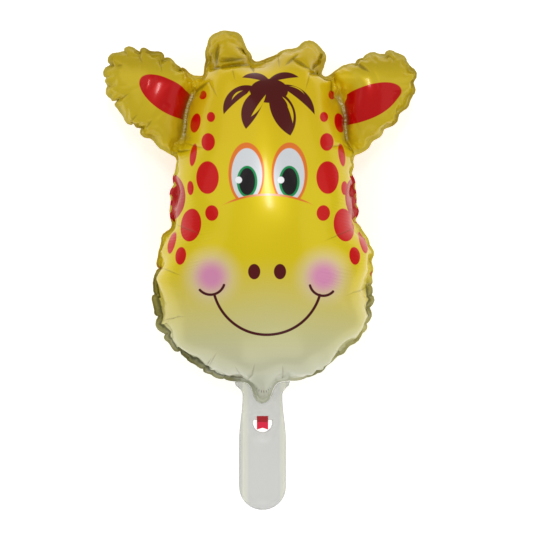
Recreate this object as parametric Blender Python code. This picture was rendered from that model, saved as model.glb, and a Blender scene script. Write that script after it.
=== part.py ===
"""A giraffe-head foil balloon with a clear film handle, lying on its back.

The balloon is two printed films welded together round their edge and blown up.  Its depth is
worked out the way such films take it: over the flat outline a pressed membrane rises, and the
balloon's half depth at a point goes with the square root of that rise.  Ears, horns and the
filling neck follow from the outline, and the weld across each ear's root holds the films down.

Frame: +Z up out of the giraffe's face, +Y to the top of its head, and the origin at the middle
of the small flat that the back gets from lying down.
"""

import math

import bpy
import numpy as np
from mathutils.geometry import delaunay_2d_cdt

# Sizes of the balloon, in metres
HEAD_LENGTH = 0.350  # chin to the top of the taller horn
FLANGE_WIDTH = 0.0034  # welded film outside the air space
FLANGE_THICKNESS = 0.0016
EAR_WELD_WIDTH = 0.0040  # weld across the root of each ear
REST_FLAT_DEPTH = 0.0040  # how far the floor presses the back in
REST_FLAT_HEIGHT = 0.146  # middle of that flat, up from the chin

# Sizes of the handle and of the tab in its filling hole, in metres
HANDLE_LENGTH = 0.129  # its end up to the chin
HANDLE_WIDTH = 0.047
HANDLE_WAIST_WIDTH = 0.0395
HANDLE_WAIST_DROP = 0.014  # waist below the chin
HANDLE_THICKNESS = 0.0050
HANDLE_WELD_WIDTH = 0.0045
HANDLE_WELD_THICKNESS = 0.0014
HANDLE_SHOULDER = 0.0030  # slope from the weld up to the flat middle
FILL_HOLE_WIDTH = 0.0190
FILL_HOLE_FLAT = 0.0025  # its flat top, above the middle of its round
FILL_HOLE_DROP = 0.0150  # that flat top, below the neck's tip
TAB_WIDTH = 0.0113
TAB_LENGTH = 0.0136
TAB_THICKNESS = 0.0010
TAB_TUCK = 0.0040  # length of the tab that is held between the films
TAB_NOTCH = 0.0018  # the V in the tab's free end
CLEARANCE = 0.0003  # gap where one piece meets another

# Half depth of the balloon over the square root of the membrane's rise
BULGE = 1.2

# Fineness of the facets, in metres
EDGE_STEP = 0.0047
FACE_STEP = 0.0098
HANDLE_STEP = 0.0050
MEMBRANE_STEP = 0.0030

# The head's outline in drawn millimetres: x from the middle of the face, y up from the chin
DRAWN_LENGTH = 350.0
NECK_TIP = (-3.5, -24)
FILM_EDGE = [
    NECK_TIP, (-10, -19), (-14, -9), (-18, -2),
    # chin and left cheek
    (-33, 0), (-51, 4), (-66, 13), (-81, 24), (-95, 35), (-106, 51), (-111, 68),
    (-113, 84), (-112, 101), (-108, 119), (-106, 137), (-101, 149), (-93, 156),
    # left side of the brow
    (-96, 165), (-96, 182), (-93, 203), (-89, 221),
    # left ear
    (-97, 226), (-110, 236), (-123, 248), (-138, 259), (-148, 272), (-157, 285),
    (-162, 300), (-159, 315), (-153, 326), (-141, 332), (-127, 332), (-113, 330),
    (-101, 324), (-88, 316), (-75, 307), (-63, 305),
    # left horn, upright
    (-61, 318), (-60, 332), (-56, 345), (-46, 350), (-32, 350), (-23, 344), (-21, 335),
    (-15, 327), (-12, 319),
    # right horn, which leans out
    (5, 324), (19, 332), (31, 333), (37, 340), (47, 341), (55, 333), (60, 328),
    (59, 315), (54, 308), (60, 304),
    # right ear
    (69, 310), (80, 317), (93, 320), (107, 329), (121, 329), (133, 329), (143, 319),
    (150, 305), (148, 289), (139, 271), (124, 254), (109, 241), (97, 230), (87, 221),
    # right side of the brow
    (88, 203), (91, 182), (92, 165), (91, 158),
    # right cheek and chin
    (98, 149), (106, 134), (107, 117), (106, 100), (107, 82), (104, 64), (98, 48),
    (84, 34), (70, 23), (55, 10), (35, 1), (21, 0), (11, -2), (7, -9), (3, -19),
]
CHIN_REACH = 48  # the outline is smooth, without waves, this far either side of the neck
FLARES = (-44, 34)  # how far to the left and right the handle's film runs along the chin

# Middles of the welds across the ears' roots
EAR_WELDS = [
    [(-72, 286), (-77, 275), (-81, 262), (-81, 242)],
    [(71, 283), (77, 273), (81, 262), (80, 240)],
]

# Waves that the blown-up films pull the edge into: wavelength and height in millimetres
EDGE_WAVES = [(15.5, 1.3), (23.0, 0.8)]
EAR_WAVES = [(18.6, 2.3), (29.0, 1.2)]
EAR_INNER_SIDE = 98.0  # the ears' deeper waves start this far from the middle
EAR_UNDERSIDE = 226.0  # and this far above the chin
HORN_OUTER_SIDE = 66.0  # nearer the middle than this is the horns' edge
HORN_FOOT = 298.0  # and above this height
HORN_WAVE_SHARE = 0.3  # the horns' waves over those of the cheeks

# Creases where the outline turns in: start, end, depth and half width in millimetres
CREASES = [
    ((-93, 157), (-62, 147), 8, 5),
    ((-110, 112), (-84, 104), 5, 4),
    ((-108, 60), (-84, 64), 4, 4),
    ((-75, 18), (-58, 34), 5, 4),
    ((-16, 1), (-12, 20), 5, 4),
    ((14, 1), (18, 21), 5, 4),
    ((76, 28), (64, 44), 5, 4),
    ((106, 88), (82, 90), 5, 4),
    ((91, 156), (62, 144), 8, 5),
    ((-88, 221), (-50, 233), 6, 5),
    ((87, 221), (54, 233), 6, 5),
    ((-12, 320), (-8, 300), 7, 5),
    ((14, 330), (12, 308), 6, 4),
    ((-58, 316), (-26, 322), 5, 5),
    ((56, 312), (28, 318), 5, 5),
    ((-63, 305), (-44, 296), 6, 4),
    ((60, 304), (46, 294), 6, 4),
]


def head_points(points):
    """Drawn places on the head, in metres from the chin at the head's real size."""
    return np.array(points, float) * HEAD_LENGTH / DRAWN_LENGTH


def head_size(drawn):
    """A drawn size on the head, in metres."""
    return drawn * HEAD_LENGTH / DRAWN_LENGTH


def even_loop(curve, step):
    """A closed polyline with its points at even steps along it."""
    closed = np.vstack([curve, curve[:1]])
    along = np.concatenate([[0], np.cumsum(np.linalg.norm(np.diff(closed, axis=0), axis=1))])
    at = np.linspace(0, along[-1], max(8, round(along[-1] / step)), endpoint=False)
    return np.column_stack([np.interp(at, along, closed[:, k]) for k in (0, 1)])


def smooth_loop(points, step):
    """Closed Catmull-Rom curve through the points, at even steps."""
    before, after, second = (np.roll(points, shift, axis=0) for shift in (1, -1, -2))
    t = np.linspace(0, 1, 12, endpoint=False)[None, :, None]
    a, b, c, d = (p[:, None, :] for p in (before, points, after, second))
    curve = 0.5 * (
        2 * b + (c - a) * t + (2 * a - 5 * b + 4 * c - d) * t**2 + (3 * b - a - 3 * c + d) * t**3
    )
    return even_loop(curve.reshape(-1, 2), step)


def outward(loop):
    """Unit normals that point out of a closed loop that runs clockwise."""
    tangent = np.roll(loop, -1, axis=0) - np.roll(loop, 1, axis=0)
    normal = np.column_stack([-tangent[:, 1], tangent[:, 0]])
    return normal / np.linalg.norm(normal, axis=1, keepdims=True)


def film_edge():
    """The edge of the welded films, with its waves, at the head's real size."""
    loop = smooth_loop(head_points(FILM_EDGE), EDGE_STEP)
    drawn = loop * DRAWN_LENGTH / HEAD_LENGTH
    along = np.cumsum(np.linalg.norm(drawn - np.roll(drawn, 1, axis=0), axis=1))
    on_ear = (np.abs(drawn[:, 0]) > EAR_INNER_SIDE) & (drawn[:, 1] > EAR_UNDERSIDE)
    on_horn = (np.abs(drawn[:, 0]) < HORN_OUTER_SIDE) & (drawn[:, 1] > HORN_FOOT)
    by_neck = (np.abs(drawn[:, 0]) < CHIN_REACH) & (drawn[:, 1] < CHIN_REACH)
    small, deep = (
        sum(height * np.sin(2 * math.pi * along / length) for length, height in waves)
        for waves in (EDGE_WAVES, EAR_WAVES)
    )
    small *= np.where(on_horn, HORN_WAVE_SHARE, np.where(by_neck, 0, 1))
    wave = np.where(on_ear, deep, small)
    return loop + outward(loop) * head_size(wave)[:, None]


def distance_to_path(points, path):
    """Shortest distance from each point to an open polyline."""
    best = np.full(len(points), np.inf)
    for start, end in zip(path[:-1], path[1:]):
        run = end - start
        t = np.clip((points - start) @ run / (run @ run), 0, 1)
        best = np.minimum(best, np.linalg.norm(points - start - t[:, None] * run, axis=1))
    return best


def distance_to_loop(points, loop):
    """Shortest distance from each point to a closed polyline."""
    return distance_to_path(points, np.vstack([loop, loop[:1]]))


def inside(points, loop):
    """Whether each point lies in the closed loop, by the crossings to one side of it."""
    result = np.zeros(len(points), bool)
    x, y = points.T
    for (x0, y0), (x1, y1) in zip(loop, np.roll(loop, -1, axis=0)):
        if y0 != y1:
            crossing = (y0 > y) != (y1 > y)
            result ^= crossing & (x < (x1 - x0) * (y - y0) / (y1 - y0) + x0)
    return result


def neighbour_sum(values):
    """The four neighbours of each square of a grid, added up."""
    return sum(np.roll(values, shift, axis) for shift in (1, -1) for axis in (0, 1))


class Membrane:
    """A membrane held down along the flange and the ear welds, and pressed from below."""

    def __init__(self, edge, welds):
        self.edge = edge
        self.welds = welds
        self.low = edge.min(0) - 2 * MEMBRANE_STEP
        count = np.ceil((edge.max(0) - self.low) / MEMBRANE_STEP).astype(int) + 2
        squares = np.stack(np.meshgrid(*map(np.arange, count), indexing="ij"), axis=-1)
        places = self.low + squares.reshape(-1, 2) * MEMBRANE_STEP
        reach = np.where(inside(places, edge), self.reach(places), -1).reshape(count)
        self.rise = self.relaxed(reach > 0)
        self.slope = self.spread(self.rise / np.maximum(reach, 1e-6), reach > MEMBRANE_STEP / 2)

    def reach(self, points):
        """Distance from each point to the nearest welded place."""
        reach = distance_to_loop(points, self.edge) - FLANGE_WIDTH
        for weld in self.welds:
            reach = np.minimum(reach, distance_to_path(points, weld) - EAR_WELD_WIDTH / 2)
        return np.maximum(reach, 0)

    @staticmethod
    def relaxed(free):
        """Rise of the membrane, by over-relaxed sweeps of its equation over the squares."""
        rise = np.zeros(free.shape)
        parity = np.indices(free.shape).sum(0) % 2
        pull = 2 - 2 * math.pi / max(free.shape)
        for _ in range(4 * max(free.shape)):
            for colour in (0, 1):
                now = free & (parity == colour)
                level = (neighbour_sum(rise) + MEMBRANE_STEP**2) / 4
                rise[now] += pull * (level - rise)[now]
        return rise

    @staticmethod
    def spread(values, known):
        """Values carried a few squares out past the known ones, as their neighbours' mean."""
        values = np.where(known, values, 0)
        for _ in range(4):
            count = neighbour_sum(known.astype(float))
            grown = ~known & (count > 0)
            values[grown] = (neighbour_sum(values) / np.maximum(count, 1))[grown]
            known = known | grown
        return values

    def read(self, grid, points):
        """A grid's value at each point, between its four nearest squares."""
        place = (points - self.low) / MEMBRANE_STEP
        square = np.floor(place).astype(int)
        i, j = square.T
        u, v = (place - square).T
        near = grid[i, j] * (1 - u) + grid[i + 1, j] * u
        far = grid[i, j + 1] * (1 - u) + grid[i + 1, j + 1] * u
        return near * (1 - v) + far * v

    def half_depth(self, points):
        """Half the balloon's depth at each point, never less than half the weld's."""
        reach = self.reach(points)
        by_weld = np.clip(2 - reach / (3 * MEMBRANE_STEP), 0, 1)
        rise = reach * self.read(self.slope, points) * by_weld
        rise += self.read(self.rise, points) * (1 - by_weld)
        weld = FLANGE_THICKNESS / 2
        return np.maximum(np.sqrt(weld**2 + BULGE**2 * rise) - crease_depth(points), weld)


def crease_depth(points):
    """How far the creases draw the film in: each is a groove that dies out at its end."""
    depth = np.zeros(len(points))
    for start, end, deepest, half_width in CREASES:
        a, b = head_points([start, end])
        run = b - a
        t = (points - a) @ run / (run @ run)
        aside = (points - a) @ np.array([-run[1], run[0]]) / np.linalg.norm(run)
        fade = np.clip(1 - t, 0, 1) * np.clip(1 + 3 * t, 0, 1)
        groove = np.exp(-((aside / head_size(half_width)) ** 2)) * fade
        depth = np.maximum(depth, head_size(deepest) * groove)
    return depth


def lattice(low, high, step):
    """Points of a triangular lattice over a rectangle."""
    rows = np.arange(low[1], high[1], step * math.sqrt(3) / 2)
    return np.vstack([
        np.column_stack([(x := np.arange(low[0] + k % 2 * step / 2, high[0], step)), x * 0 + y])
        for k, y in enumerate(rows)
    ])


def inset_row(loop, inset):
    """A row of points set in from a loop, without those that come nearer to another side."""
    row = loop - outward(loop) * inset
    return row[inside(row, loop) & (distance_to_loop(row, loop) > 0.94 * inset)]


def beside(path, step, offset):
    """Points at even steps along an open path, moved aside by the offset."""
    along = np.concatenate([[0], np.cumsum(np.linalg.norm(np.diff(path, axis=0), axis=1))])
    at = np.linspace(0, along[-1], max(3, round(along[-1] / step)))
    line = np.column_stack([np.interp(at, along, path[:, k]) for k in (0, 1)])
    run = np.gradient(line, axis=0)
    aside = np.column_stack([-run[:, 1], run[:, 0]]) / np.linalg.norm(run, axis=1)[:, None]
    return line + aside * offset


def thinned(points, kept, spacing):
    """The kept points, with each further point that is not within the spacing of one."""
    kept = list(kept)
    cells = {}
    for place in kept:
        cells.setdefault(tuple(np.floor(place / spacing).astype(int)), []).append(place)
    for place in points:
        i, j = np.floor(place / spacing).astype(int)
        near = [p for a in (-1, 0, 1) for b in (-1, 0, 1) for p in cells.get((i + a, j + b), [])]
        if all(np.hypot(*(place - p)) >= spacing for p in near):
            kept.append(place)
            cells.setdefault((i, j), []).append(place)
    return np.array(kept)


def triangulated(loops, within):
    """Triangles over the area inside the first loop and outside the other ones."""
    edges = []
    start = 0
    for loop in loops:
        edges += [(start + k, start + (k + 1) % len(loop)) for k in range(len(loop))]
        start += len(loop)
    points = np.vstack([*loops, within])
    made = delaunay_2d_cdt([tuple(p) for p in points], edges, [], 0, 1e-9)
    places = np.array([tuple(p) for p in made[0]])
    faces = np.array(made[2])
    middles = places[faces].mean(axis=1)
    keep = inside(middles, loops[0])
    for hole in loops[1:]:
        keep &= ~inside(middles, hole)
    faces = faces[keep]
    a, b, c = places[faces].transpose(1, 0, 2)
    turn = (b - a)[:, 0] * (c - a)[:, 1] - (b - a)[:, 1] * (c - a)[:, 0]
    return places, np.where(turn[:, None] > 0, faces, faces[:, ::-1])


def solid_between(name, plan, top, bottom, material):
    """A closed body over a triangulated plan, from one height to another at each point."""
    places, faces = plan
    count = len(places)
    above, below = (np.column_stack([places, np.broadcast_to(z, count)]) for z in (top, bottom))
    edges = {(i, j) for f in faces.tolist() for i, j in zip(f, f[1:] + f[:1])}
    walls = [(i, i + count, j + count, j) for i, j in sorted(edges) if (j, i) not in edges]
    mesh = bpy.data.meshes.new(name)
    mesh.from_pydata(
        np.vstack([above, below]).tolist(),
        [],
        faces.tolist() + (faces[:, ::-1] + count).tolist() + walls,
    )
    mesh.materials.append(material)
    mesh.shade_smooth()
    mesh.set_sharp_from_angle(angle=math.radians(50))
    body = bpy.data.objects.new(name, mesh)
    bpy.context.scene.collection.objects.link(body)
    return body


def film(name, colour, roughness, alpha=1.0):
    """A film's material: one plain colour under a glossy surface."""
    material = bpy.data.materials.new(name)
    material.use_nodes = True
    shader = material.node_tree.nodes["Principled BSDF"]
    shader.inputs["Base Color"].default_value = (*colour, 1)
    shader.inputs["Roughness"].default_value = roughness
    shader.inputs["Metallic"].default_value = 0
    shader.inputs["Alpha"].default_value = alpha
    return material


def make_balloon(edge, membrane):
    """Head, ears, horns and filling neck: one blown-up envelope with its flange."""
    rows = [inset_row(edge, FLANGE_WIDTH)]
    for share in (0.3, 1.3, 2.9):
        rows.append(inset_row(edge, FLANGE_WIDTH + share * EDGE_STEP))
    for weld in membrane.welds:
        for share in (0.0, 0.4, 1.5):
            offset = EAR_WELD_WIDTH / 2 + share * EDGE_STEP
            rows += [beside(weld, EDGE_STEP, side * offset) for side in (-1, 1)]
    for start, end, _, half_width in CREASES:
        valley = head_points([start, end])
        rows += [beside(valley, EDGE_STEP, side * head_size(half_width)) for side in (0, -1.3, 1.3)]
    lines = np.vstack(rows)
    clear = inside(lines, edge) & (distance_to_loop(lines, edge) > 0.9 * FLANGE_WIDTH)
    lines = thinned(lines[clear], [], 0.24 * EDGE_STEP)
    field = lattice(edge.min(0), edge.max(0), FACE_STEP)
    clear = inside(field, edge) & (distance_to_loop(field, edge) > FLANGE_WIDTH + EDGE_STEP)
    within = thinned(field[clear], lines, 0.6 * FACE_STEP)
    plan = triangulated([edge], within)
    half = membrane.half_depth(plan[0])
    seam = half.max() - REST_FLAT_DEPTH
    yellow = film("printed foil", (0.68, 0.53, 0.03), 0.25)
    body = solid_between(
        "balloon_envelope", plan, seam + half, np.maximum(seam - half, 0), yellow
    )
    return body, seam


def handle_edge(edge):
    """The handle's outline: round end, straight sides, a waist, and flares up to the chin."""
    lowest = int(np.argmin(edge[:, 1]))
    around = np.roll(edge, len(edge) // 2 - lowest, axis=0)
    beyond = around + outward(around) * CLEARANCE
    left_flare, right_flare = head_size(np.array(FLARES))
    met = (around[:, 0] > left_flare) & (around[:, 0] < right_flare)
    met &= around[:, 1] < head_size(CHIN_REACH)
    top = beyond[met][::-1]
    half, waist = HANDLE_WIDTH / 2, HANDLE_WAIST_WIDTH / 2
    turn = np.linspace(0, math.pi, round(math.pi * half / HANDLE_STEP) + 1)
    end = np.column_stack([half * np.cos(turn), -HANDLE_LENGTH + half * (1 - np.sin(turn))])
    rise = HANDLE_LENGTH - half - HANDLE_WAIST_DROP
    up = np.linspace(0, 1, round(rise / HANDLE_STEP) + 1)[1:]
    ease = np.clip(2 * up - 1, 0, 1)
    across = half + (waist - half) * ease**2 * (3 - 2 * ease)
    height = -HANDLE_LENGTH + half + up * rise
    middle = np.array([edge[lowest, 0], 0])
    end += middle
    left, right = (np.column_stack([side * across, height]) + middle for side in (-1, 1))
    return np.vstack([
        end, left, flare(left[-1], top[0]), top, flare(right[-1], top[-1])[::-1], right[::-1]
    ])


def flare(low, high):
    """A fillet that leaves the waist upwards and turns out to the chin, without its ends."""
    t = np.linspace(0, 1, 7)[1:-1, None]
    corner = np.array([low[0], (low[1] + high[1]) / 2])
    return (1 - t) ** 2 * low + 2 * t * (1 - t) * corner + t**2 * high


def hole_edge(top):
    """The filling hole: a circle with a flat top, from the middle of that flat."""
    radius = FILL_HOLE_WIDTH / 2
    rise = math.asin(FILL_HOLE_FLAT / radius)
    turn = np.linspace(rise, -math.pi - rise, 26)
    return top - [0, FILL_HOLE_FLAT] + radius * np.column_stack([np.cos(turn), np.sin(turn)])


def box(name, low, high):
    """A closed box between two corners."""
    mesh = bpy.data.meshes.new(name)
    xs, ys, zs = zip(low, high)
    corners = [(x, y, z) for z in zs for y in ys for x in xs]
    faces = [(0, 2, 3, 1), (4, 5, 7, 6), (0, 1, 5, 4), (2, 6, 7, 3), (0, 4, 6, 2), (1, 3, 7, 5)]
    mesh.from_pydata(corners, [], faces)
    body = bpy.data.objects.new(name, mesh)
    bpy.context.scene.collection.objects.link(body)
    return body


def cut(body, tool):
    """Takes the tool's space out of the body and leaves the tool as a hidden guide."""
    change = body.modifiers.new(tool.name, "BOOLEAN")
    change.operation = "DIFFERENCE"
    change.object = tool
    tool.hide_render = True
    tool.display_type = "WIRE"


def make_handle(edge, hole_top, seam):
    """The clear film sleeve: welded margins, a slightly filled middle and the filling hole."""
    outline = handle_edge(edge)
    hole = hole_edge(hole_top)
    insets = (HANDLE_WELD_WIDTH, HANDLE_WELD_WIDTH + HANDLE_SHOULDER)
    within = np.vstack([inset_row(outline, inset) for inset in insets])
    within = within[~inside(within, hole) & (distance_to_loop(within, hole) > CLEARANCE)]
    plan = triangulated([outline, hole], within)
    reach = distance_to_loop(plan[0], outline)
    rise = np.clip((reach - HANDLE_WELD_WIDTH) / HANDLE_SHOULDER, 0, 1)
    half = (HANDLE_WELD_THICKNESS + (HANDLE_THICKNESS - HANDLE_WELD_THICKNESS) * rise) / 2
    clear = film("clear film", (0.80, 0.81, 0.78), 0.12, alpha=0.35)
    body = solid_between("handle_sleeve", plan, seam + half, seam - half, clear)
    across = TAB_WIDTH / 2 + CLEARANCE
    above = TAB_THICKNESS / 2 + CLEARANCE
    pocket = box(
        "tab_pocket",
        (hole_top[0] - across, hole_top[1] - FILL_HOLE_FLAT, seam - above),
        (hole_top[0] + across, hole_top[1] + TAB_TUCK + CLEARANCE, seam + above),
    )
    cut(body, pocket)
    return body, pocket


def make_tab(hole_top, seam):
    """The red tab of the filling valve, tucked between the films and showing in the hole."""
    x, top = hole_top + [0, TAB_TUCK]
    low, half = top - TAB_LENGTH, TAB_WIDTH / 2
    outline = np.array([
        (x - half, low), (x - half, top), (x + half, top), (x + half, low), (x, low + TAB_NOTCH),
    ])
    plan = triangulated([outline], np.empty((0, 2)))
    red = film("red film", (0.62, 0.01, 0.04), 0.3)
    thick = TAB_THICKNESS / 2
    return solid_between("valve_tab", plan, seam + thick, seam - thick, red)


def main():
    """Builds the balloon with the flat on its back at the origin."""
    for old in list(bpy.data.objects):
        bpy.data.objects.remove(old)
    edge = film_edge()
    membrane = Membrane(edge, [head_points(weld) for weld in EAR_WELDS])
    balloon, seam = make_balloon(edge, membrane)
    hole_top = edge[np.argmin(edge[:, 1])] - [0, FILL_HOLE_DROP]
    handle, pocket = make_handle(edge, hole_top, seam)
    tab = make_tab(hole_top, seam)
    for piece in (balloon, handle, pocket, tab):
        piece.location = (0, -REST_FLAT_HEIGHT, 0)


main()
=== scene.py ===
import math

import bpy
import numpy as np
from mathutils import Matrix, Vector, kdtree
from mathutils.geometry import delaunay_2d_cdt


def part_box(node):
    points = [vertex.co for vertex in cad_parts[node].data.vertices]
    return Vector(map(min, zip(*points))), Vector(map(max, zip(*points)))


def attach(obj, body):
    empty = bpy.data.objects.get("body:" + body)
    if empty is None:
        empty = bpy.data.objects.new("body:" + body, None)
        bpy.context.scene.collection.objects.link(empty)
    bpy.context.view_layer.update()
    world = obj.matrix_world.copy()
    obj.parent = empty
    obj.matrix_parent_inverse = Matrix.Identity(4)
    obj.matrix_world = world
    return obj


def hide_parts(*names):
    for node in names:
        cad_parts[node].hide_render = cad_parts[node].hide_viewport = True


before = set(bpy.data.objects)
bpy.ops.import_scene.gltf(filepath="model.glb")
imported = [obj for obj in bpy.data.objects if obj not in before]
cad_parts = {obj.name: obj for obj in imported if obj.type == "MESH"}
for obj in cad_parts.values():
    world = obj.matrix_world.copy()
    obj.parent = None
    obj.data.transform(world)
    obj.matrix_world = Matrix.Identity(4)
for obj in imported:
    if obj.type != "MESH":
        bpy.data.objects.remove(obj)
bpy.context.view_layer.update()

# %% [markdown]
# # A giraffe foil balloon
# A foil balloon is two flat printed films, welded together round their edge and blown up.
# Film hardly stretches, so as the middle rises the edge is drawn in, and it has nowhere to go
# but into puckers.  That is what makes a foil balloon look like one, and it is hard to draw by
# hand, so this script cuts the flat pattern, welds it and blows it up with Blender's Cloth.
# The printing is laid out on the flat film, as a printer would, and rides up with it.

handle_low, handle_high = (np.array(corner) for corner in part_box("handle_sleeve"))
MM = 0.001
SEAM = float(handle_low[2] + handle_high[2]) / 2  # height of the weld between front and back
HALF_DEPTH = float(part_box("balloon_envelope")[1][2]) - SEAM
FLANGE = 3.4 * MM  # welded film outside the air
CHIN = -146 * MM  # the drawn height nought, on the Y axis
print("seam at", round(SEAM, 4), "half depth", round(HALF_DEPTH, 4))

# %% [markdown]
# ## The stage
# A pale floor, soft light from big lamps and a camera straight above, because the balloon lies
# on its back and the photograph looks it in the face.  One millimetre at the height of the seam
# is one pixel of a 533 pixel picture, so the camera's field is 533 mm wide there.

# %% The camera
PICTURE_WIDTH = 533 * MM
CAMERA_HEIGHT = 2.0  # above the seam
EYE = np.array([0.5 * MM, CHIN + 114.5 * MM])  # the point that the camera looks down on

lens = bpy.data.cameras.new("camera")
lens.sensor_width = 36
lens.lens = lens.sensor_width * CAMERA_HEIGHT / PICTURE_WIDTH
camera = bpy.data.objects.new("camera", lens)
camera.location = (*EYE, SEAM + CAMERA_HEIGHT)
bpy.context.scene.collection.objects.link(camera)
bpy.context.scene.camera = camera
bpy.context.scene.view_settings.view_transform = "Standard"  # print colours come out as mixed
print("camera:", PICTURE_WIDTH, "m of field at the seam, a lens of", round(lens.lens, 1), "mm")


# %% Colour and node helpers
def linear(hex_colour):
    """An sRGB hex colour as linear red, green, blue and an alpha of one."""
    srgb = np.array([int(hex_colour[k:k + 2], 16) for k in (1, 3, 5)]) / 255
    low = srgb <= 0.04045
    return (*np.where(low, srgb / 12.92, ((srgb + 0.055) / 1.055) ** 2.4).tolist(), 1.0)


def add(tree, kind, settings=None, **links):
    """Adds one node: settings set its properties, and links its inputs by name or number.

    An input takes a plain value, a socket, or something that holds its socket as `socket`.
    """
    node = tree.nodes.new(kind)
    for name, value in (settings or {}).items():
        setattr(node, name, value)
    for name, value in links.items():
        key = int(name[1:]) if name[0] == "i" and name[1:].isdigit() else name.replace("_", " ")
        value = getattr(value, "socket", value)
        if isinstance(value, bpy.types.NodeSocket):
            tree.links.new(value, node.inputs[key])
        else:
            node.inputs[key].default_value = value
    return node


def new_material(name, **values):
    """A Principled material whose plain values are set straight on the shader's sockets."""
    material = bpy.data.materials.new(name)
    material.use_nodes = True
    shader = material.node_tree.nodes["Principled BSDF"]
    for key, value in values.items():
        shader.inputs[key.replace("_", " ")].default_value = value
    return material, material.node_tree, shader


# %% The floor
FLOOR_REACH = 4.0  # from the middle to each side
# Matt white paper scatters all its light: an even ground that still takes a soft shadow.  The
# little light of its own stands for a sheet that is lit from behind, so that it comes out white.
floor_material, _, _ = new_material(
    "matt white paper", Base_Color=linear("#ffffff"), Roughness=0.9,
    Emission_Color=linear("#ffffff"), Emission_Strength=0.42,
)
floor_corners = FLOOR_REACH * np.array([(-1, -1, 0), (1, -1, 0), (1, 1, 0), (-1, 1, 0)])
floor_mesh = bpy.data.meshes.new("floor")
floor_mesh.from_pydata(floor_corners.tolist(), [], [(0, 1, 2, 3)])
floor_mesh.materials.append(floor_material)
floor = bpy.data.objects.new("floor", floor_mesh)
bpy.context.scene.collection.objects.link(floor)
print("floor:", 2 * FLOOR_REACH, "m square")


# %% The lights
def lamp(name, place, width, power, height=None):
    """An area lamp that faces the balloon, square unless its height is given too."""
    light = bpy.data.lights.new(name, "AREA")
    light.shape = "RECTANGLE"
    light.size, light.size_y = width, height or width
    light.energy = power
    body = bpy.data.objects.new(name, light)
    body.location = place
    body.rotation_euler = (Vector(place) - Vector((0, 0, SEAM))).to_track_quat("Z", "Y").to_euler()
    bpy.context.scene.collection.objects.link(body)


lamp("strip over the camera", (0, 0.68, 2.8), width=0.08, power=8.5, height=0.6)
lamp("key", (-1.1, 0.9, 1.6), width=1.6, power=5.5)
lamp("fill", (1.3, 0.3, 1.5), width=1.6, power=5)
lamp("front", (0.1, -1.5, 1.2), width=1.2, power=3)
world = bpy.data.worlds.new("soft room")
world.use_nodes = True
world.node_tree.nodes["Background"].inputs["Color"].default_value = (1, 1, 1, 1)
world.node_tree.nodes["Background"].inputs["Strength"].default_value = 0.53
bpy.context.scene.world = world
print("lamps:", len(bpy.data.lights))

# %% [markdown]
# ## The flat pattern
# The CAD solid has the blown-up balloon's edge, so the aimed-at outline is read from its thin
# rim.  Loops are arrays of points in the plane of the seam, and run clockwise.


# %% Working on loops
def even(loop, step):
    """A closed loop again with its rows at even steps along the line of its first two columns."""
    closed = np.vstack([loop, loop[:1]])
    along = np.linalg.norm(np.diff(closed[:, :2], axis=0), axis=1).cumsum()
    along = np.concatenate([[0], along])
    at = np.linspace(0, along[-1], round(along[-1] / step), endpoint=False)
    return np.column_stack([np.interp(at, along, column) for column in closed.T])


def soften(values, times):
    """Each row becomes half itself and a quarter of each neighbour, some times over."""
    for _ in range(times):
        values = (np.roll(values, 1, 0) + 2 * values + np.roll(values, -1, 0)) / 4
    return values


def outward(loop):
    """Unit normals out of a clockwise loop: the chord between neighbours, turned left."""
    chord = np.roll(loop, -1, 0) - np.roll(loop, 1, 0)
    normal = np.column_stack([-chord[:, 1], chord[:, 0]])
    return normal / np.linalg.norm(normal, axis=1, keepdims=True)


# %% Distances to loops and paths
def path_distance(points, path):
    """Distance to an open path: the least of the distances to its straight stretches."""
    start, run = path[:-1], np.diff(path, axis=0)
    best = np.full(len(points), np.inf)
    for a, r in zip(start, run):
        t = np.clip((points - a) @ r / max(r @ r, 1e-18), 0, 1)
        best = np.minimum(best, np.linalg.norm(points - a - t[:, None] * r, axis=1))
    return best


def loop_distance(points, loop):
    """Distance to a closed loop."""
    return path_distance(points, np.vstack([loop, loop[:1]]))


def within(points, loop):
    """True inside a loop: a ray to the side crosses it an odd number of times."""
    x, y = points.T
    result = np.zeros(len(points), bool)
    for (x0, y0), (x1, y1) in zip(loop, np.roll(loop, -1, 0)):
        if y0 != y1:
            result ^= ((y0 > y) != (y1 > y)) & (x < (x1 - x0) * (y - y0) / (y1 - y0) + x0)
    return result


# %% The outline of the real balloon
FILM_LEVEL = 0.02 * MM  # how near a point lies to a rim's level


def rims_of(node, half_height):
    """The outlines of a CAD node's thin rims: the upper edges of its upright faces, in chains."""
    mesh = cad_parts[node].data
    places = np.empty(len(mesh.vertices) * 3)
    mesh.vertices.foreach_get("co", places)
    corners = places.reshape(-1, 3)[[list(p.vertices) for p in mesh.polygons]]
    level = np.abs(corners[:, :, 2] - SEAM - half_height) < FILM_LEVEL
    low = np.abs(corners[:, :, 2] - SEAM + half_height) < FILM_LEVEL
    upright = (level.sum(1) == 2) & (low.sum(1) == 1)
    following = {}
    for triangle, up in zip(corners[upright], level[upright]):
        k = int(np.argmin(up))
        start, end = (tuple(np.round(triangle[(k + n) % 3, :2], 6)) for n in (1, 2))
        following[start] = end
    loops = []
    while following:
        chain = [next(iter(following))]
        while chain[-1] in following:
            chain.append(following.pop(chain[-1]))
        loop = np.array(chain[1:])
        twice_area = np.sum(loop[:, 0] * np.roll(loop[:, 1], -1) - np.roll(loop[:, 0], -1) * loop[:, 1])
        loops.append(loop if twice_area < 0 else loop[::-1])
    return sorted(loops, key=len, reverse=True)


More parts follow.
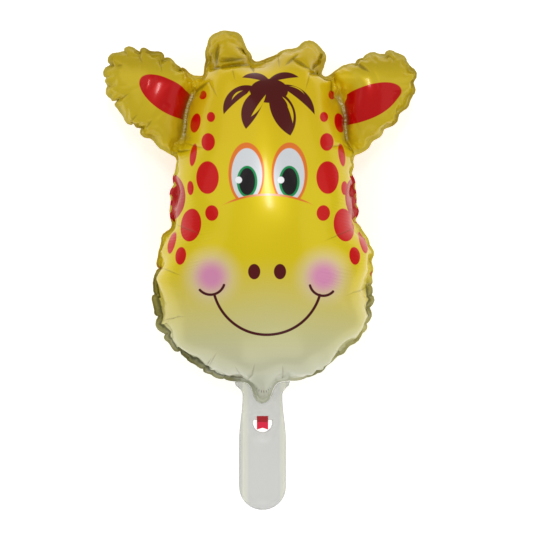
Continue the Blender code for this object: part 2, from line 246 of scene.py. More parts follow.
HALF_RIM = 0.8 * MM  # half the thickness of the solid's rim
film_edge = rims_of("balloon_envelope", HALF_RIM)[0]
outline = even(film_edge, 1 * MM)
crisp, eased = soften(outline, 3), soften(outline, 48)  # the true edge, and a cutter's easy curve
aims = np.hstack([eased - outward(eased) * FLANGE, crisp - outward(crisp) * FLANGE])
print("rim of the solid:", len(film_edge), "points, aimed-at seam:", len(aims))

# %% [markdown]
# ## Cutting, welding and blowing up
# The pattern is covered with small triangles, twice: a front and a back film that share their
# points wherever they are welded.  Cloth stiff in tension but soft in compression behaves as
# film does, and pressure pushes the films apart.  Blown up, the edge ends well inside the
# pattern's, so a few quick rounds on coarse triangles let the pattern out until the balloon
# fills the outline of the real one.  The last, fine round gives the puckers.

# %% Points over a film
EAR_WELDS = [
    MM * np.array([(-72, 286), (-77, 275), (-81, 262), (-81, 242)]) + [0, CHIN],
    MM * np.array([(71, 283), (77, 273), (81, 262), (80, 240)]) + [0, CHIN],
]
EAR_WELD_WIDTH = 4 * MM


def along_path(path, step):
    """Points at about even steps along an open path."""
    length = np.concatenate([[0], np.cumsum(np.linalg.norm(np.diff(path, axis=0), axis=1))])
    at = np.linspace(0, length[-1], max(3, round(length[-1] / step)))
    return np.column_stack([np.interp(at, length, path[:, k]) for k in (0, 1)])


def both_sides(line, offset):
    """A line moved to its left and to its right by the offset, one after the other."""
    run = np.gradient(line, axis=0)
    aside = np.column_stack([-run[:, 1], run[:, 0]]) / np.linalg.norm(run, axis=1)[:, None]
    return np.vstack([line - aside * offset, line + aside * offset])


def lattice(low, high, step):
    """A triangular lattice over a rectangle: every other row stands half a step aside."""
    levels = np.arange(low[1], high[1], step * math.sqrt(3) / 2)
    x, y = np.meshgrid(np.arange(low[0], high[0], step), levels)
    x = x + (np.arange(len(levels)) % 2)[:, None] * step / 2
    return np.column_stack([x.ravel(), y.ravel()])


# %% Triangles between the points
def triangulated(rings, inner):
    """Points and triangles inside the first ring and outside the others, all facing up."""
    starts = np.cumsum([0] + [len(ring) for ring in rings]).tolist()
    ties = [
        (start + k, start + (k + 1) % len(ring)) for start, ring in zip(starts, rings)
        for k in range(len(ring))
    ]
    made = delaunay_2d_cdt([tuple(p) for p in np.vstack([*rings, inner])], ties, [], 0, 1e-9)
    places, faces = np.array([tuple(p) for p in made[0]]), np.array(made[2])
    centres = places[faces].mean(axis=1)
    kept = within(centres, rings[0])
    for hole in rings[1:]:
        kept &= ~within(centres, hole)
    faces = faces[kept]
    a, b, c = places[faces].transpose(1, 0, 2)
    twice_area = (b - a)[:, 0] * (c - a)[:, 1] - (b - a)[:, 1] * (c - a)[:, 0]
    return places, np.where(twice_area[:, None] > 0, faces, faces[:, ::-1])


# %% The pattern
ROOM = 0.5  # of a step, between the lattice and the lines that have their own points


def cut_pattern(seam, welds, step):
    """Triangles over one film.  Its first points are the outer edge's, then the seam's."""
    edge = seam + outward(seam) * FLANGE
    lines = [both_sides(along_path(weld, step), EAR_WELD_WIDTH / 2) for weld in welds]
    field = lattice(edge.min(0), edge.max(0), step)
    free = within(field, seam) & (loop_distance(field, seam) > ROOM * step)
    for weld in welds:
        free &= path_distance(field, weld) > EAR_WELD_WIDTH / 2 + ROOM * step
    places, faces = triangulated([edge], np.vstack([seam, *lines, field[free]]))
    flange = np.arange(len(places)) < 2 * len(edge)
    welded = flange.copy()
    for weld in welds:
        welded |= path_distance(places, weld) < EAR_WELD_WIDTH / 2 + 0.1 * MM
    return places, faces, flange, welded


# %% Two films, welded
START_HEIGHT = 0.8 * MM  # of each film from the seam before the air is let in
START_ROUGHNESS = 0.4 * MM  # film is never quite flat, and the puckers start from that


def two_films(places, faces, welded):
    """Points and triangles of both films, and where each point of the front is on the back."""
    count, loose = len(places), np.count_nonzero(~welded)
    back = np.arange(count)
    back[~welded] = count + np.arange(loose)
    points = np.zeros((count + loose, 3))
    points[:count, :2] = places
    points[back, :2] = places
    points[:count, 2] = np.where(welded, 0, START_HEIGHT)
    points[count:, 2] = -START_HEIGHT
    points[:, 2] += np.random.default_rng(4).normal(0, START_ROUGHNESS, len(points))
    doubled = back[faces][:, ::-1][~welded[faces].all(axis=1)]
    return points, np.vstack([faces, doubled]), back


# %% The blowing up
WORK_SCALE = 10  # Blender's Cloth is steadier on a balloon of some metres
FILM_MASS = 6.0  # of the whole balloon at the work scale, shared among its points
CLOTH = {
    "tension_stiffness": 1000, "compression_stiffness": 10, "shear_stiffness": 10,
    "bending_stiffness": 0.02, "tension_damping": 1, "compression_damping": 1,
    "shear_damping": 1, "bending_damping": 0.5, "air_damping": 10, "quality": 6,
    "bending_model": "ANGULAR", "use_pressure": True, "uniform_pressure_force": 5,
}


def blow_up(pattern, frames):
    """Runs the Cloth on two welded films.  Returns the front's and the back's points."""
    places, faces, flange, welded = pattern
    points, triangles, back = two_films(places, faces, welded)
    mesh = bpy.data.meshes.new("films")
    mesh.from_pydata((points * WORK_SCALE).tolist(), [], triangles.tolist())
    body = bpy.data.objects.new("films", mesh)
    bpy.context.scene.collection.objects.link(body)
    blown = np.ones(len(points), bool)
    blown[:len(places)] = ~flange
    body.vertex_groups.new(name="blown").add(np.nonzero(blown)[0].tolist(), 1, "REPLACE")
    cloth = body.modifiers.new("films", "CLOTH")
    for name, value in CLOTH.items():
        setattr(cloth.settings, name, value)
    cloth.settings.mass = FILM_MASS / len(points)
    cloth.settings.vertex_group_pressure = "blown"
    cloth.settings.effector_weights.gravity = 0
    cloth.collision_settings.use_collision = False
    cloth.point_cache.frame_end = frames
    for number in range(1, frames + 1):
        bpy.context.scene.frame_set(number)
    evaluated = body.evaluated_get(bpy.context.evaluated_depsgraph_get()).to_mesh()
    moved = np.empty(points.size)
    evaluated.vertices.foreach_get("co", moved)
    moved = moved.reshape(-1, 3) / WORK_SCALE
    bpy.data.objects.remove(body)
    bpy.context.scene.frame_set(1)
    return moved[:len(places)], moved[back]


# %% Laying the balloon level
def laid_level(front, back, seam_points, target):
    """Turns and shifts the balloon so that its seam lies on the target with the least squares."""
    here, there = front[seam_points], np.column_stack([target, np.zeros(len(target))])
    u, _, v = np.linalg.svd((here - here.mean(0)).T @ (there - there.mean(0)))
    turn = (u * [1, 1, np.sign(np.linalg.det(u @ v))]) @ v
    return ((film - here.mean(0)) @ turn + there.mean(0) for film in (front, back))


# %% [markdown]
# ## Letting the pattern out
# After each round the gap between the blown-up seam and the outline aimed at is added to the
# pattern, smoothed so that the pattern keeps a cutter's easy curves.  The welds across the ears'
# roots are let out with it.

# %% How high the balloon stands, and how a shift spreads
def solid_height(points):
    """How high the CAD solid stands above the seam at points in the plane, nought beside it."""
    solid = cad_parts["balloon_envelope"]
    tops = [solid.ray_cast((x, y, 1), (0, 0, -1))[:2] for x, y in points.tolist()]
    return np.array([max(place.z - SEAM, 0) if hit else 0 for hit, place in tops])


def carried(points, known_at, shifts, reach=1 * MM):
    """Shifts at other points: the mean of the known ones, the nearest weighing the most."""
    gap = np.linalg.norm(points[:, None] - known_at[None], axis=2)
    weight = 1 / (gap**2 + reach**2) ** 2
    return (weight @ shifts) / weight.sum(1)[:, None]


# %% The rounds
SEAM_STEP = 3.2 * MM
ROUNDS = [(6.0 * MM, 18)] * 5 + [(3.4 * MM, 34)]  # the triangles' size and the frames to blow
LET_OUT_SHARE = 0.8  # of the gap, so that a round doesn't overshoot
FIRST_LET_OUT = 0.42  # of the depth nearby, and no more than the next value
MOST_LET_OUT = 36 * MM
DEPTHS_READ = (10, 20, 30, 50, 70)  # mm in from the edge
NORMALS_EASED, START_EASED, GAP_EASED = 8, 30, 14  # times that each is softened along the seam

target, outline_seam = np.hsplit(even(aims, SEAM_STEP), 2)
inward = -soften(outward(target), NORMALS_EASED)
nearby = [solid_height(target + inward * depth * MM) for depth in DEPTHS_READ]
let_out = np.clip(FIRST_LET_OUT * np.max(nearby, axis=0), 0, MOST_LET_OUT)
let_out = soften(let_out, START_EASED)
seam = target - inward * let_out[:, None]
welds = EAR_WELDS
for step, frames in ROUNDS:
    pattern = cut_pattern(seam, welds, step)
    front, back = blow_up(pattern, frames)
    on_seam = np.arange(len(seam), 2 * len(seam))
    front, back = laid_level(front, back, on_seam, target)
    gap = target - front[on_seam, :2]
    weld_gaps = [
        goal - carried(weld, pattern[0], front[:, :2]) for weld, goal in zip(welds, EAR_WELDS)
    ]
    print(
        len(pattern[0]), "points a film, mean gap", round(np.linalg.norm(gap, axis=1).mean() / MM, 1),
        "mm, at the ears' roots", round(np.abs(np.vstack(weld_gaps)).mean() / MM, 1),
        "mm, half depth", round(front[:, 2].max() / MM, 1), round(-back[:, 2].min() / MM, 1), "mm",
    )
    cut_seam, cut_welds = seam, welds
    seam = seam + LET_OUT_SHARE * soften(gap, GAP_EASED)
    welds = [weld + LET_OUT_SHARE * shift for weld, shift in zip(welds, weld_gaps)]

# %% [markdown]
# ## Laying the balloon down
# What gap is left is closed by a smooth shift of the whole plan.  The depth is brought to the
# solid's, and the underside, which lies on the floor, is pressed flat there.

# %% Fitting the outline, the height and the depth
HEIGHT_EASED = 60  # times that the seam's waves up and down are softened

places, faces, flange, welded = pattern
edge_count = len(seam)
last_gap = outline_seam - front[on_seam, :2]
shifts = np.hstack([last_gap, -soften(front[on_seam, 2:], HEIGHT_EASED)])
known_at = front[on_seam, :2]
front, back = (film + carried(film[:, :2], known_at, shifts) for film in (front, back))
outline_edge = even(np.hstack([aims, crisp]), SEAM_STEP)[:, 4:]
for film in (front, back):
    film[:edge_count, :2] = outline_edge
front[:, 2] *= HALF_DEPTH / front[:, 2].max()
back[:, 2] *= HALF_DEPTH / -back[:, 2].min()
back[:, 2] = np.maximum(back[:, 2], -SEAM)
print("fitted:", np.ptp(front[:, :2], axis=0).round(4), "m across")

# %% [markdown]
# Blown hard, the middle of a foil balloon is as smooth as a drum.  The solver leaves small dents
# there, which are ironed out by averaging each point with its neighbours, more the further the
# point lies from a weld.

# %% Ironing the middle
IRONED = 12  # times
CREASED_BAND = (10, 42)  # mm from a weld: creases stay before the first, and are gone by the second


def sides_of(faces):
    """The three sides of each triangle as pairs of points, the lower number first."""
    return np.sort(np.vstack([faces[:, [0, 1]], faces[:, [1, 2]], faces[:, [2, 0]]]), axis=1)


def neighbour_mean(values, faces):
    """The mean of each point's neighbours' values."""
    links = np.unique(sides_of(faces), axis=0)
    total, count = np.zeros_like(values), np.zeros(len(values))
    for here, there in (links.T, links.T[::-1]):
        np.add.at(total, here, values[there])
        np.add.at(count, here, 1)
    return total / count[:, None]


from_root = np.min([path_distance(places, weld) for weld in cut_welds], axis=0)
from_weld = np.minimum(loop_distance(places, cut_seam), from_root)
near, far = CREASED_BAND
calm = np.clip((from_weld / MM - near) / (far - near), 0, 1)[:, None]
calm = calm**2 * (3 - 2 * calm)
for _ in range(IRONED):
    front += calm * (neighbour_mean(front, faces) - front)
    back += calm * (neighbour_mean(back, faces) - back)
print("ironed", int((calm > 0.5).sum()), "of", len(places), "points")

# %% [markdown]
# ## Where the printing lies on the film
# The artwork is drawn as it is seen from the front, in millimetres across from the chin and up
# from it.  Each point of the film gets its place in that drawing: where the camera sees it,
# averaged with the film around, so that the print runs over the puckers as if laid out flat.

# %% Places in the artwork
PRINT_SMOOTHING = 14


def drawing_places(film, perspective):
    """Places in the drawing, in mm: the camera's perspective swells what stands above the seam."""
    swell = CAMERA_HEIGHT / (CAMERA_HEIGHT - film[:, 2:] * perspective)
    plan = (EYE + (film[:, :2] - EYE) * swell - [0, CHIN]) / MM
    slip = plan - places / MM
    for _ in range(PRINT_SMOOTHING):
        slip = (slip + neighbour_mean(slip, faces)) / 2
    return places / MM + slip


front_art, back_art = drawing_places(front, 1), drawing_places(back, 0)
print("the front film shows", front_art.min(0).round(), "to", front_art.max(0).round(), "mm")

# %% [markdown]
# ## One closed skin
# The two films become one mesh that shares the edge's points.  Each point is a row that holds
# all that is known of it, so that one round of subdivision smooths its place and its print alike.

# %% Subdivision for triangles
def subdivided(rows, faces, border):
    """One round of subdivision: each triangle becomes four, and their corners are averaged.

    A middle is 3/8 of each end of its edge and 1/8 of each point across it.  An old point leans
    to the mean of its neighbours by 5/8 less the square of 3/8 and a quarter of the cosine of a
    turn shared among them.  The border looks only along itself, so that it stays crisp.
    """
    edges, edge_of = np.unique(sides_of(faces), axis=0, return_inverse=True)
    edge_of = edge_of.ravel()
    a, b = edges.T
    opposite = np.zeros((len(edges), rows.shape[1]))
    np.add.at(opposite, edge_of, rows[np.concatenate([faces[:, 2], faces[:, 0], faces[:, 1]])])
    ring = np.nonzero(border)[0]
    after = dict(zip(ring, np.roll(ring, -1)))
    hard = np.array([after.get(p) == q or after.get(q) == p for p, q in edges.tolist()])
    middles = 0.375 * (rows[a] + rows[b]) + 0.125 * opposite
    middles[hard] = 0.5 * (rows[a] + rows[b])[hard]
    count = np.bincount(edges.ravel(), minlength=len(rows))[:, None]
    neighbours = np.zeros_like(rows)
    np.add.at(neighbours, a, rows[b])
    np.add.at(neighbours, b, rows[a])
    lean = 0.625 - (0.375 + 0.25 * np.cos(2 * np.pi / count)) ** 2
    moved = rows * (1 - lean) + neighbours / count * lean
    moved[ring] = soften(rows[ring], 1)
    m = len(rows) + edge_of.reshape(3, -1)
    corners = faces.T
    finer = [np.column_stack([corners[k], m[k], m[(k + 2) % 3]]) for k in range(3)]
    return np.vstack([moved, middles]), np.vstack([*finer, m.T])


# %% One closed skin out of two films
FILM_GAP = 0.3 * MM  # between the faces of the two films where they are welded
# The columns of a row: its place, its place in the drawing, which way its film faces, its share
# of weld, its distances from a weld and from an ear's root, and its place on the flat film.
PLACE, DRAWN, FACING, WELD = slice(0, 3), slice(3, 5), 5, 6
FROM_WELD, FROM_ROOT, ON_FILM = 7, 8, slice(9, 11)
UP = 2  # the height in its place


def film_rows(film, art, facing):
    """One film's rows.  It faces up with 1 and down with -1, and the cut edge faces neither."""
    rows = np.column_stack([
        film, art, np.full(len(film), facing), welded, from_weld / MM, from_root / MM, places / MM,
    ])
    rows[welded, UP] += facing * FILM_GAP / 2
    rows[border, UP], rows[border, FACING] = film[border, UP], 0
    return rows


border = np.arange(len(places)) < edge_count
upper, lower = film_rows(front, front_art, 1), film_rows(back, back_art, -1)
below = np.where(border, np.arange(len(places)), np.arange(len(places)) + len(places) - edge_count)
rows = np.vstack([upper, lower[edge_count:]])
skin_faces = np.vstack([faces, below[faces][:, ::-1]])
rows, skin_faces = subdivided(rows, skin_faces, np.arange(len(rows)) < edge_count)
print("skin:", len(skin_faces), "triangles")

# %% [markdown]
# ## Creases and scallops
# A few creases are deep enough to be known by: round the horns' feet, at the ears' roots and in
# from the edge.  Each is a narrow valley that starts at full depth and runs out at its end.

# %% Creases by which the horns are known, on the front alone
HORN_CREASES = [  # in the drawing: from, to, depth and half width, all in mm
    # the left horn's
    ((-56, 312), (-40, 314), 6, 2.4), ((-42, 314), (-13, 318), 10, 3),
    ((-14.5, 318), (-12.5, 309), 3.5, 1.5), ((-47, 334), (-49.5, 315), 6, 2.4),
    ((-43, 320), (-23, 322), 7, 3.4), ((-20, 330), (-30, 333), 6, 2.4),
    ((-61, 316), (-51, 329), 2.5, 2), ((-33.5, 311), (-31, 301), 2, 1.3),
    ((-57, 299), (-49, 285), 1.6, 1.6), ((-71, 289), (-57, 299), 3.5, 1.6),
    ((-69, 297), (-71, 288), 2.5, 1.4),
    # the right horn's
    ((45, 307.6), (56, 307.6), 9, 2.6), ((55, 307.6), (64, 299), 6, 2),
    ((63, 300), (67, 289), 3, 1.6), ((52, 319), (45, 310), 8, 2.6),
    ((56.5, 330), (51, 318), 5, 2.4), ((28, 321), (44, 311), 6, 2.6),
    ((31, 325), (20, 316), 4.5, 2.2), ((12.5, 323), (13.5, 314), 2, 1.3),
    ((44, 309), (39.5, 292), 1.8, 1.5),
]

# %% Creases in from the edge, on both films
EDGE_CREASES = [
    # the ears
    ((-106.3, 320), (-104.5, 309), 2.5, 1.3), ((-86.8, 313), (-84.5, 306), 2.5, 1.4),
    ((-127.2, 325), (-124, 318), 2, 1.3), ((-148, 314), (-143, 315), 2, 1.3),
    ((-145, 282.4), (-138, 287), 2.5, 1.4), ((-120, 254.5), (-114.5, 261), 2.5, 1.5),
    ((-133.5, 262), (-128, 267), 1.6, 1.3), ((-91, 228), (-76, 231), 3, 1.6),
    ((90.7, 315.5), (103, 309), 3.5, 1.6), ((120.8, 324.7), (128, 321), 2.5, 1.5),
    ((119.2, 252), (121.5, 257.5), 2, 1.4), ((77, 236), (60, 234), 2.5, 1.4),
    ((78, 236), (88, 225), 2.5, 1.4), ((-81, 238), (-60, 232), 2.2, 1.5),
    # the face
    ((-92, 157), (-66, 147), 1.8, 1.5), ((-103, 112.5), (-86, 106), 2.2, 1.4),
    ((-103, 62), (-84, 64), 2, 1.3), ((-62, 12), (-56, 21), 1.8, 1.4),
    ((-58, 14), (-50, 27), 1.2, 1.3), ((88, 152.5), (62, 141.5), 2, 1.3),
    ((103, 93), (83, 86.5), 2, 1.4), ((76, 24), (70, 31), 1.6, 1.4),
    # the neck
    ((-41, 5), (-17, 0.5), 3, 1.4), ((-18, 1), (-12.5, 8), 2.2, 1.4),
    ((-14, 5), (-11.5, 16), 1.8, 1.4), ((17, 0), (16.5, 14), 2, 1.4), ((-22, 0), (-30, 14), 1, 1.4),
]
FIRST_FILM = 4  # mm beside a weld over which a crease comes in


def crease_depths(places_drawn, creases):
    """How far each point sinks: a round-shouldered valley, shallower towards the crease's end.

    The depth is the crease's, times 1 - 0.9 of the squared share of the way along it, divided by
    the power 1.5 of 1 and the squared distance beside it in half widths.
    """
    depth = np.zeros(len(places_drawn))
    for start, end, deep, half_width in creases:
        run = np.subtract(end, start)
        share = np.clip((places_drawn - start) @ run / (run @ run), 0, 1)
        beside = np.linalg.norm(places_drawn - start - share[:, None] * run, axis=1)
        fade = 1 - 0.9 * share**2
        depth = np.maximum(depth, deep * fade / (1 + (beside / half_width) ** 2) ** 1.5)
    return depth * MM


drawn, facing, from_weld_mm = rows[:, DRAWN], rows[:, FACING], rows[:, FROM_WELD]
airy = np.clip(from_weld_mm / FIRST_FILM, 0, 1) * (rows[:, WELD] < 0.5)
for sign, creases in ((1, HORN_CREASES + EDGE_CREASES), (-1, EDGE_CREASES)):
    sink = crease_depths(drawn, creases) * airy * (facing * sign > 0)
    rows[:, UP] -= sign * sink
print("creases:", len(HORN_CREASES), "round the horns,", len(EDGE_CREASES), "in from the edge")

# %% [markdown]
# The weld gathers the film in lobes with a sharp crease between one and the next.  The creases
# run in from the weld at a right angle, some a long way and some hardly at all.

# %% The notches that stand out
NOTCHES = [  # in the drawing: the sharp notches that stand out, and the height of the lobes there
    # left ear
    (-86.8, 313, 4), (-106.3, 320, 7), (-127.2, 325, 8), (-140.4, 327, 8), (-148, 314, 10),
    (-157, 305, 7), (-144.6, 282.4, 10.5), (-133.5, 262, 7), (-120, 254.5, 8), (-98, 226, 1),
    # right ear
    (79, 317, 1.5), (90.7, 315.5, 4), (97, 320.7, 2), (120.8, 324.7, 4), (141.7, 320, 1.5),
    (145.7, 286, 2), (119.2, 252.5, 2),
    # left and right of the chin
    (-103.2, 112.5, 6), (-109.2, 87, 6), (-105, 64, 6.5), (-100, 46, 7), (-86.4, 29.5, 7),
    (-61.3, 15.6, 7), (-42, 3, 3), (104, 97, 4), (105, 86, 4), (105, 73, 4), (102, 58, 4), (90, 40, 1),
]
print("notches:", len(NOTCHES))

# %% Where the lobes meet
PITCH = (9, 18)  # mm from crease to crease
NEAREST = 0.8 * PITCH[0]  # of any other crease to a notch
PLAIN_LOBE = 1.2  # the height of the other lobes
RUNS_IN = (5, 22)  # mm that a crease runs in
SMOOTH_NECK = (-3.5, -12, 30)  # where there are none: its middle and its reach
DRAWS = 400  # more than go round

rng = np.random.default_rng(7)
way_round = edge_count * SEAM_STEP / MM
on_drawing = (outline_seam - [0, CHIN]) / MM
notches_at = [
    (np.argmin(np.linalg.norm(on_drawing - notch[:2], axis=1)) * SEAM_STEP / MM, notch[2])
    for notch in NOTCHES
]
others = rng.uniform(*PITCH, DRAWS).cumsum()
apart = np.abs(others[:, None] - np.array(notches_at)[:, 0]).min(axis=1) > NEAREST
others = others[apart & (others > PITCH[0]) & (others < way_round - PITCH[0])]
all_marks = sorted(notches_at + [(mark, PLAIN_LOBE) for mark in (0, *others, way_round)])
marks, heights = np.array(all_marks).T
at_mark = on_drawing[np.round(marks * MM / SEAM_STEP).astype(int) % edge_count]
heights[np.linalg.norm(at_mark - SMOOTH_NECK[:2], axis=1) < SMOOTH_NECK[2]] = 0
runs_in = rng.uniform(*RUNS_IN, len(marks))
print("puckers:", len(marks))

# %% Which lobe a point is on
NEAR_WELD = 70  # mm
READ_EVERY = 0.5  # mm along the seam

dense = np.hstack([cut_seam / MM, outward(outline_seam), np.arange(edge_count)[:, None]])
dense = even(dense, READ_EVERY)
seam_tree = kdtree.KDTree(len(dense))
for k, (u, v) in enumerate(dense[:, :2].tolist()):
    seam_tree.insert((u, v, 0), k)
seam_tree.balance()
near_weld = np.nonzero(from_weld_mm < NEAR_WELD)[0]
nearest = [seam_tree.find((u, v, 0))[1] for u, v in rows[near_weld, ON_FILM].tolist()]
outward_there, along = dense[nearest, 2:4], dense[nearest, 4] * SEAM_STEP / MM
lobe = np.clip(np.searchsorted(marks, along, side="right") - 1, 0, len(marks) - 2)
share = np.clip((along - marks[lobe]) / (marks[lobe + 1] - marks[lobe]), 0, 1)
lobe_height = heights[lobe] * (1 - share) + heights[lobe + 1] * share
runs = np.where(share < 0.5, runs_in[lobe], runs_in[lobe + 1])
print("points near the weld:", len(near_weld))

# %% [markdown]
# A lobe's outline is a parabola across it, made full by a power of 0.6.  The lobe swings out in
# its middle and in at its ends, the film dips between two lobes, and one lobe lifts as the next
# one drops.  All that dies away from the weld.  Where the face overhangs the weld, as at the
# chin, the front is tucked in too, so that the weld shows beside it.

# %% The puckers
FULLNESS = 0.6
MEAN_LOBE = 0.55  # a lobe's mean share of its height, which leaves the edge where it was
SWING_REACH, DIP_START, LIFT_REACH = 6, 3, 7  # mm from the weld
DIP = 2.4  # mm
LIFT, LIFT_SHARE = 0.5, 0.35  # mm, and more by this share of the lobe's height
TUCK_START, TUCK_REACH = 4, 45  # mm from the weld
TUCKED = [  # where the front is drawn in over a standing edge: place, reach and how far, in mm
    ((-104, 60), 45, 5.0), ((-62, 10), 26, 4.0), ((104, 84), 26, 3.5), ((-92, 180), 20, 4.5),
    ((92, 182), 20, 4.0), ((104, 118), 16, 2.0),
]

inward_mm = from_weld_mm[near_weld]
shape = (4 * share * (1 - share)) ** FULLNESS
swing = (shape - MEAN_LOBE) * lobe_height * np.exp(-inward_mm / SWING_REACH)
tuck = sum(
    far_in * np.exp(-((drawn[near_weld] - place) ** 2).sum(1) / reach**2)
    for place, reach, far_in in TUCKED
)
tuck = tuck * (1 - np.exp(-inward_mm / TUCK_START)) * np.exp(-inward_mm / TUCK_REACH)
swing -= tuck * (facing[near_weld] > 0) * (rows[near_weld, WELD] < 0.5)
rows[near_weld, :2] += outward_there * (swing * MM)[:, None]
dip = (1 - shape) * (1 - np.exp(-inward_mm / DIP_START)) * np.exp(-inward_mm / runs) * DIP
rows[near_weld, UP] -= facing[near_weld] * dip * MM
lift = np.where(lobe % 2, 1, -1) * np.sin(np.pi * share) * np.exp(-inward_mm / LIFT_REACH)
lift = lift * (LIFT + LIFT_SHARE * lobe_height)
rows[near_weld, UP] += lift * MM
rows[:, UP] = np.maximum(rows[:, UP] + SEAM, 0)  # from the seam's height to the floor's
print("lobes swing out by", round(swing.max(), 1), "mm at most")

# %% [markdown]
# ## The balloon as a piece
# The skin goes into a mesh, with what the material will read kept on its points.  The films are
# shaded smooth, but the cut edge where they meet stays sharp, or it would look like a dark hem.

# %% The balloon
def new_piece(name, points, faces):
    """A smooth piece in the shared frame that moves with the root."""
    mesh = bpy.data.meshes.new(name)
    mesh.from_pydata(points.tolist(), [], faces.tolist())
    mesh.shade_smooth()
    piece = bpy.data.objects.new(name, mesh)
    bpy.context.scene.collection.objects.link(piece)
    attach(piece, "root")
    return piece


balloon = new_piece("balloon_film", rows[:, PLACE], skin_faces)
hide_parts("balloon_envelope")
ends = np.empty(2 * len(balloon.data.edges), int)
balloon.data.edges.foreach_get("vertices", ends)
on_rim = (facing == 0)[ends.reshape(-1, 2)].all(axis=1)
balloon.data.attributes.new("sharp_edge", "BOOLEAN", "EDGE").data.foreach_set("value", on_rim)
print("sharp edges:", int(on_rim.sum()))


# %% What the material will read
def keep_on_points(mesh, name, values):
    """Stores a number or a vector for each point, for the material to read."""
    kind, field = ("FLOAT", "value") if values.ndim == 1 else ("FLOAT_VECTOR", "vector")
    mesh.attributes.new(name, kind, "POINT").data.foreach_set(field, values.ravel())


keep_on_points(balloon.data, "drawing", np.column_stack([drawn, np.zeros(len(rows))]))
for name, column in (("side", FACING), ("weld", WELD), ("inset", FROM_WELD), ("ear_root", FROM_ROOT)):
    keep_on_points(balloon.data, name, rows[:, column])
print("kept on the points:", [attribute.name for attribute in balloon.data.attributes])

# %% [markdown]
# ## The handle
# A long sleeve of clear film, welded round its edge and round the hole for the filling tube.

# %% The handle's outline and its hole
HANDLE_STEP = 1.6 * MM
HOLE_RADIUS = 9.5 * MM
HOLE_FLAT = 2.5 * MM  # its top is cut off by so much
HOLE_DROP = 15 * MM  # from the tip of the foil's neck to the top of the hole
HALF_SLEEVE_RIM = 0.7 * MM
MEETS_WITHIN = 4 * MM
OVERLAP = 0.2 * MM  # of the clear film beside the foil's edge, so that no gap shows there

neck_tip = film_edge[np.argmin(film_edge[:, 1])]
flat_angle = math.asin(HOLE_FLAT / HOLE_RADIUS)
angles = np.linspace(flat_angle, -math.pi - flat_angle, 60)
arc = HOLE_RADIUS * np.column_stack([np.cos(angles), np.sin(angles)])
sleeve_hole = even(neck_tip - [0, HOLE_DROP + HOLE_FLAT] + arc, HANDLE_STEP)
sleeve_edge = even(rims_of("handle_sleeve", HALF_SLEEVE_RIM)[0], HANDLE_STEP)
foil_edge = even(rows[:edge_count, :2], 0.3 * MM)
gaps = np.linalg.norm(sleeve_edge[:, None] - foil_edge[None], axis=2)
meets = gaps.min(axis=1) < MEETS_WITHIN
sleeve_edge[meets] = (foil_edge + outward(foil_edge) * OVERLAP)[gaps.argmin(axis=1)[meets]]
print("handle's edge:", len(sleeve_edge), "points,", int(meets.sum()), "of them on the foil's edge")

# %% The handle's film
HANDLE_WELD = 4.5 * MM
EASES_IN = 5 * MM  # beside the weld, where the two films part


def sleeve_height(points):
    """Half the sleeve's thickness: thin in the welds, then rising to the solid's in a soft curve."""
    inside = np.minimum(loop_distance(points, sleeve_edge), loop_distance(points, sleeve_hole))
    past_weld = np.clip(inside - HANDLE_WELD, 0, None)
    fullness = (handle_high[2] - handle_low[2]) / 2 - FILM_GAP
    return FILM_GAP / 2 + fullness * (1 - np.exp(-past_weld / EASES_IN))


HANDLE_ROOM = 0.6  # of a step, between the lattice and the rings
rings = [sleeve_edge, sleeve_hole]
inner = lattice(sleeve_edge.min(0), sleeve_edge.max(0), HANDLE_STEP)
inner = inner[within(inner, sleeve_edge) & ~within(inner, sleeve_hole)]
for ring in rings:
    inner = inner[loop_distance(inner, ring) > HANDLE_ROOM * HANDLE_STEP]
flat, flat_faces = triangulated(rings, inner)
rim = sum(len(ring) for ring in rings)
half_thick = sleeve_height(flat)
half_thick[:rim] = 0
under = np.concatenate([np.arange(rim), np.arange(len(flat), 2 * len(flat) - rim)])
sleeve_points = np.vstack([
    np.column_stack([flat, SEAM + half_thick]),
    np.column_stack([flat, SEAM - half_thick])[rim:],
])
sleeve_faces = np.vstack([flat_faces, under[flat_faces][:, ::-1]])
sleeve = new_piece("handle_film", sleeve_points, sleeve_faces)
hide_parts("handle_sleeve")
print("sleeve:", len(sleeve.data.polygons), "triangles")

# %% [markdown]
# ## The printing
# All sizes here are millimetres in the drawing.  The face is all but even, so what comes in
# pairs is given once, by its distance from the face's axis.  The red patches are large and soft
# in outline, so they are worked out at the mesh's points as a distance from their border, less
# than nought inside.  The face's finer shapes are worked out in the material itself.

# %% The red patches
FACE_AXIS = 1.5
SPOTS = [  # beside the axis, up from the chin, width, height, lean in degrees
    (71.7, 258, 9.6, 19.5, 12), (56.4, 264, 8.3, 10.2, 0), (59.2, 239, 13.6, 17.8, 0),
    (74.0, 226, 6.5, 23, 8), (59.8, 203.4, 22.4, 32.7, 0), (77.0, 193, 6.8, 14, 0),
    (55.6, 168, 13.2, 15.7, 0), (76.9, 156, 21, 33.2, 8), (95.4, 138.3, 7, 23, 13),
    (86.6, 125, 10.7, 18, 6), (64.6, 286, 8, 9, 0),
]
BACK_SPOTS = [
    (74, 182, 48, 54, 0), (106, 108, 24, 24, 0), (40, 236, 26, 32, 20), (36, 142, 30, 26, -30),
    (72, 226, 16, 20, 0), (62, 104, 20, 24, 0), (112, 272, 18, 16, 0), (0, 196, 22, 30, 0),
    (0, 262, 24, 20, 0),
]


def oval_distance(points, centre, width, height, lean):
    """About the distance to an oval: the scaled radius less one, times the shorter half axis."""
    c, s = math.cos(math.radians(lean)), math.sin(math.radians(lean))
    across = (points - centre) @ np.array([[c, -s], [s, c]])
    return (np.linalg.norm(across / (width / 2, height / 2), axis=1) - 1) * min(width, height) / 2


